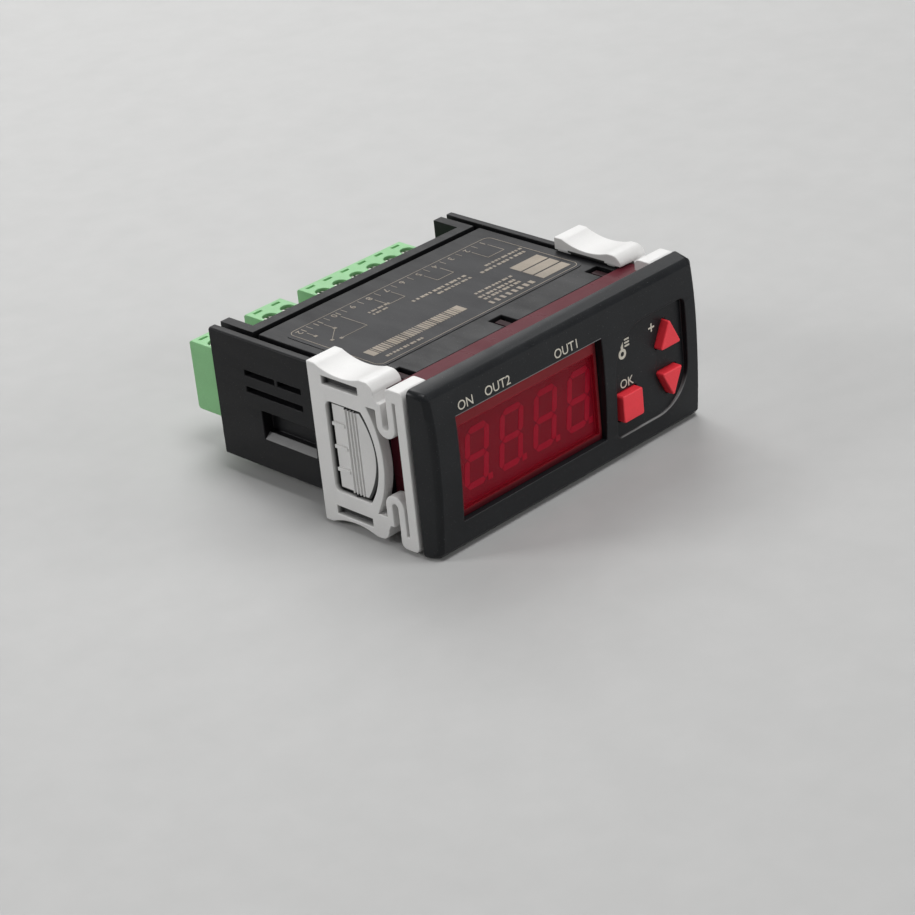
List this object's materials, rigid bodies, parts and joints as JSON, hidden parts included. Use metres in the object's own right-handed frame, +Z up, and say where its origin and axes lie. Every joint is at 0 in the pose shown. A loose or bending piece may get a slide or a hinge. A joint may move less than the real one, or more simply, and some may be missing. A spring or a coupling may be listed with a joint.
{
  "type": "panel-mount temperature controller",
  "caption": "Panel-mount temperature controller: black case with a red digit window, push keys, sliding clamps and plug-in screw terminals at the rear.",
  "frame": {"origin": "centre of the panel cut-out, on the panel's front plane, which is the back face of the bezel's rim", "axes": "+X right as seen from the front, +Y rearwards into the panel, +Z up"},
  "size_m": [0.0784, 0.0808, 0.0362],
  "materials": {
    "black_satin": "fine satin moulding",
    "black_case": "satin moulding",
    "red_filter": "polished red see-through",
    "red_key": "soft matt",
    "display_face": "matt",
    "segment_red": "diffused light bars",
    "label_grey": "satin film",
    "clamp_white": "satin moulding",
    "terminal_green": "satin moulding",
    "screw_steel": "plated",
    "board_green": "lacquered board",
    "part_black": "moulded",
    "core_steel": "laminated",
    "print_cream": "thin matt print"
  },
  "bodies": {
    "body": {"front_bezel": "black_satin", "front_filter": "red_filter", "display_board": "board_green", "led_display": "display_face", "led_segments": "segment_red", "key_switches": "part_black", "case": "black_case", "rear_cover": "black_case", "rating_label": "label_grey", "main_board": "board_green", "board_link": "part_black", "transformer": "core_steel", "output_relay": "part_black", "capacitors": "part_black", "controller_chip": "part_black", "header_outer": "terminal_green", "header_middle": "terminal_green", "header_wide": "terminal_green"},
    "clamp_left": {"clamp_left": "clamp_white"},
    "clamp_right": {"clamp_right": "clamp_white"},
    "latch_left": {"latch_left": "clamp_white"},
    "latch_right": {"latch_right": "clamp_white"},
    "set_key": {"set_key": "red_key"},
    "up_key": {"up_key": "red_key"},
    "down_key": {"down_key": "red_key"},
    "plug_outer": {"plug_outer": "terminal_green", "screws_outer": "screw_steel", "cages_outer": "screw_steel"},
    "plug_middle": {"plug_middle": "terminal_green", "screws_middle": "screw_steel", "cages_middle": "screw_steel"},
    "plug_wide": {"plug_wide": "terminal_green", "screws_wide": "screw_steel", "cages_wide": "screw_steel"}
  },
  "joints": [
    {"name": "clamp_left_slide", "type": "slide", "parent": "body", "child": "clamp_left", "axis": [0, 1, 0], "range_m": [0, 0.034]},
    {"name": "latch_left_rock", "type": "hinge", "parent": "clamp_left", "child": "latch_left", "pos_m": [-0.0379, 0.0176, 0], "axis": [0, 0, 1], "range_deg": [0, 6], "stiffness_Nm_per_rad": 0.05},
    {"name": "clamp_right_slide", "type": "slide", "parent": "body", "child": "clamp_right", "axis": [0, 1, 0], "range_m": [0, 0.034]},
    {"name": "latch_right_rock", "type": "hinge", "parent": "clamp_right", "child": "latch_right", "pos_m": [0.0379, 0.0176, 0], "axis": [0, 0, -1], "range_deg": [0, 6], "stiffness_Nm_per_rad": 0.05},
    {"name": "set_key_press", "type": "slide", "parent": "body", "child": "set_key", "axis": [0, 1, 0], "range_m": [0, 0.0006], "stiffness_N_per_m": 500},
    {"name": "up_key_press", "type": "slide", "parent": "body", "child": "up_key", "axis": [0, 1, 0], "range_m": [0, 0.0006], "stiffness_N_per_m": 500},
    {"name": "down_key_press", "type": "slide", "parent": "body", "child": "down_key", "axis": [0, 1, 0], "range_m": [0, 0.0006], "stiffness_N_per_m": 500},
    {"name": "plug_outer_pull", "type": "slide", "parent": "body", "child": "plug_outer", "axis": [0, 1, 0], "range_m": [0, 0.012]},
    {"name": "plug_middle_pull", "type": "slide", "parent": "body", "child": "plug_middle", "axis": [0, 1, 0], "range_m": [0, 0.012]},
    {"name": "plug_wide_pull", "type": "slide", "parent": "body", "child": "plug_wide", "axis": [0, 1, 0], "range_m": [0, 0.012]}
  ]
}
